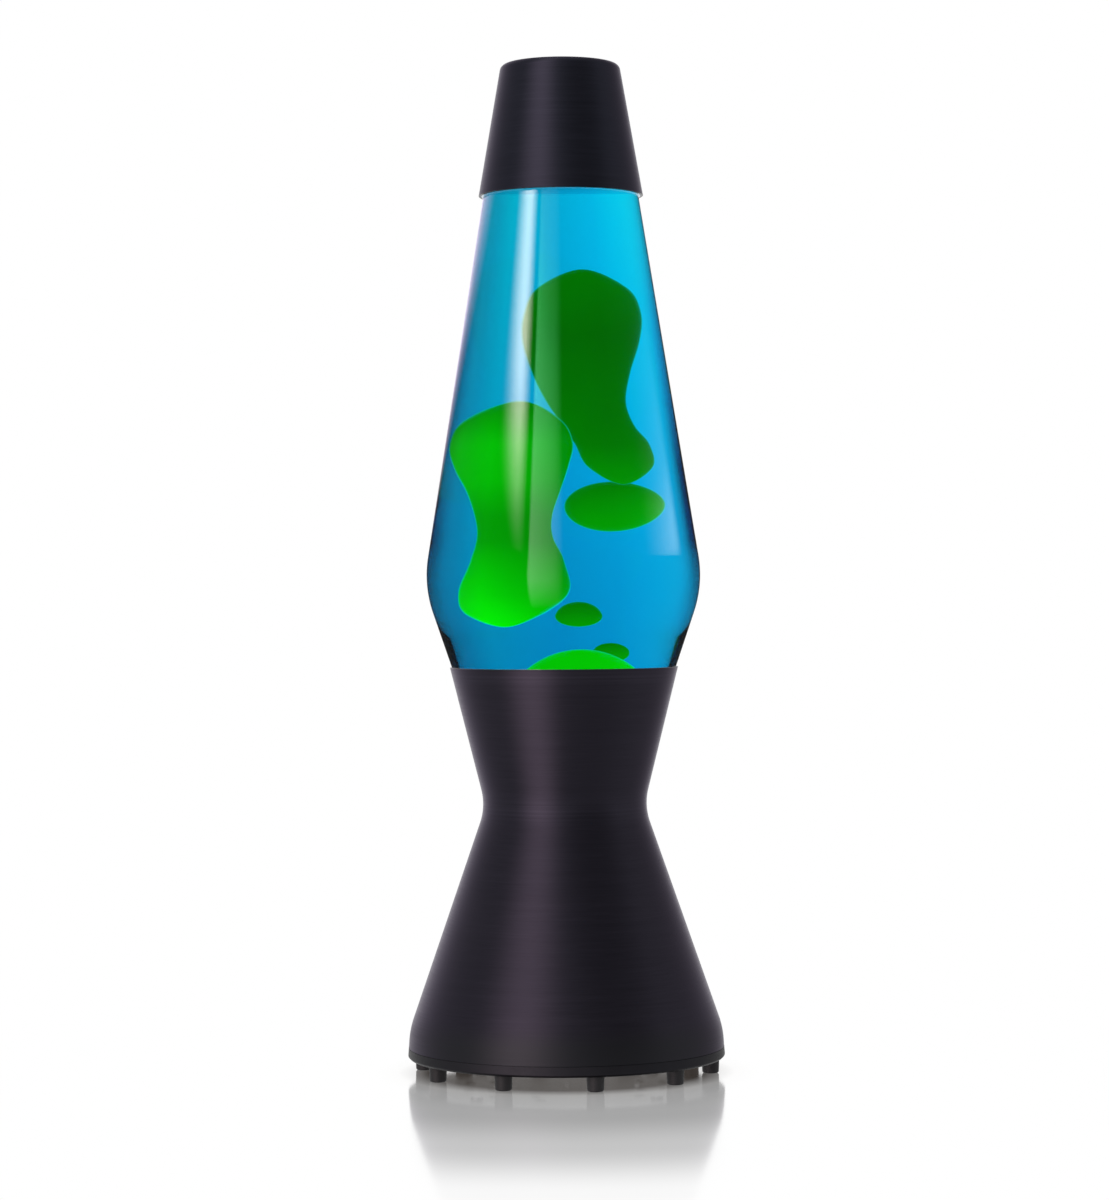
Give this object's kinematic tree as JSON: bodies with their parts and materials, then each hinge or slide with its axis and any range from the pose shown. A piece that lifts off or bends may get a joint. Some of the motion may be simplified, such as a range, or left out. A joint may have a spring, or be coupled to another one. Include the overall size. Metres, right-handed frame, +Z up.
{
  "type": "lava lamp",
  "caption": "Lava lamp: two-cone glass bottle of blue liquid and green wax in an hourglass metal base on peg feet, under a lift-off cone cap.",
  "frame": {"origin": "on the lamp's axis, on the surface that the feet stand on", "axes": "+Z up along the lamp's axis, +Y towards the back, where the cord goes in, +X to the right seen from the front"},
  "size_m": [0.1352, 0.1364, 0.43],
  "materials": {
    "anodised_shell": "brushed satin",
    "ring_plastic": "matt",
    "foot_rubber": "matt",
    "sheet_steel": "satin",
    "plate_black": "black coated",
    "screw_steel": "plain",
    "ceramic": "glazed white",
    "brass": "plain",
    "terminal_plastic": "natural white",
    "wire_brown": "sleeved wire",
    "wire_blue": "sleeved wire",
    "wire_green": "sleeved wire",
    "bulb_steel": "plain",
    "reflector_mirror": "faceted mirror coat on glass",
    "bulb_glass": "clear",
    "bottle_glass": "clear",
    "crown_steel": "lacquered tinplate",
    "liner_rubber": "matt",
    "liquid_blue": "clear blue liquid",
    "wax_green": "soft green wax",
    "coil_steel": "plain wire"
  },
  "bodies": {
    "base": {"base_shell": "anodised_shell", "foot_ring": "ring_plastic", "bottom_plate": "plate_black", "plate_screws": "screw_steel", "cord_gland": "foot_rubber", "gland_nut": "foot_rubber", "foot_1": "foot_rubber", "foot_2": "foot_rubber", "foot_3": "foot_rubber", "foot_4": "foot_rubber", "foot_5": "foot_rubber", "foot_6": "foot_rubber", "foot_7": "foot_rubber", "foot_8": "foot_rubber", "foot_9": "foot_rubber", "foot_10": "foot_rubber", "holder_bracket": "sheet_steel", "bracket_screws": "screw_steel", "lampholder_body": "ceramic", "lampholder_screws": "screw_steel", "contact_live": "brass", "contact_neutral": "brass", "terminal_block": "terminal_plastic", "terminal_screws": "brass", "live_wire": "wire_brown", "neutral_wire": "wire_blue", "earth_wire": "wire_green", "earth_tag": "brass", "earth_screw": "screw_steel"},
    "bulb": {"bulb_base": "ceramic", "bulb_pins": "bulb_steel", "bulb_reflector": "reflector_mirror", "bulb_lens": "bulb_glass", "bulb_capsule": "bulb_glass", "bulb_filament": "bulb_steel"},
    "bottle": {"glass_bottle": "bottle_glass", "crown_closure": "crown_steel", "closure_liner": "liner_rubber", "liquid": "liquid_blue", "wax_mound": "wax_green", "coil_spring": "coil_steel"},
    "left_drop": {"wax_left": "wax_green"},
    "upper_drop": {"wax_upper": "wax_green"},
    "flat_drop": {"wax_flat": "wax_green"},
    "small_drop": {"wax_small": "wax_green"},
    "low_drop": {"wax_low": "wax_green"},
    "cap": {"cap_shell": "anodised_shell"}
  },
  "joints": [
    {"name": "bottle_lift", "type": "slide", "parent": "base", "child": "bottle", "axis": [0, 0, 1], "range_m": [0, 0.055]},
    {"name": "cap_lift", "type": "slide", "parent": "bottle", "child": "cap", "axis": [0, 0, 1], "range_m": [0, 0.045]},
    {"name": "bulb_twist", "type": "hinge", "parent": "base", "child": "bulb", "pos_m": [0, 0, 0.064], "axis": [0, 0, 1], "range_deg": [0, 18]},
    {"name": "left_drop_rise", "type": "slide", "parent": "bottle", "child": "left_drop", "axis": [0, 0, 1], "range_m": [0, 0.008], "deforming": ["liquid"]},
    {"name": "upper_drop_rise", "type": "slide", "parent": "bottle", "child": "upper_drop", "axis": [0, 0, 1], "range_m": [0, 0.03], "deforming": ["liquid"]},
    {"name": "flat_drop_rise", "type": "slide", "parent": "bottle", "child": "flat_drop", "axis": [0, 0, 1], "range_m": [0, 0.004], "deforming": ["liquid"]},
    {"name": "small_drop_rise", "type": "slide", "parent": "bottle", "child": "small_drop", "axis": [0, 0, 1], "range_m": [0, 0.022], "deforming": ["liquid"]},
    {"name": "low_drop_rise", "type": "slide", "parent": "bottle", "child": "low_drop", "axis": [0, 0, 1], "range_m": [0, 0.036], "deforming": ["liquid"]}
  ]
}
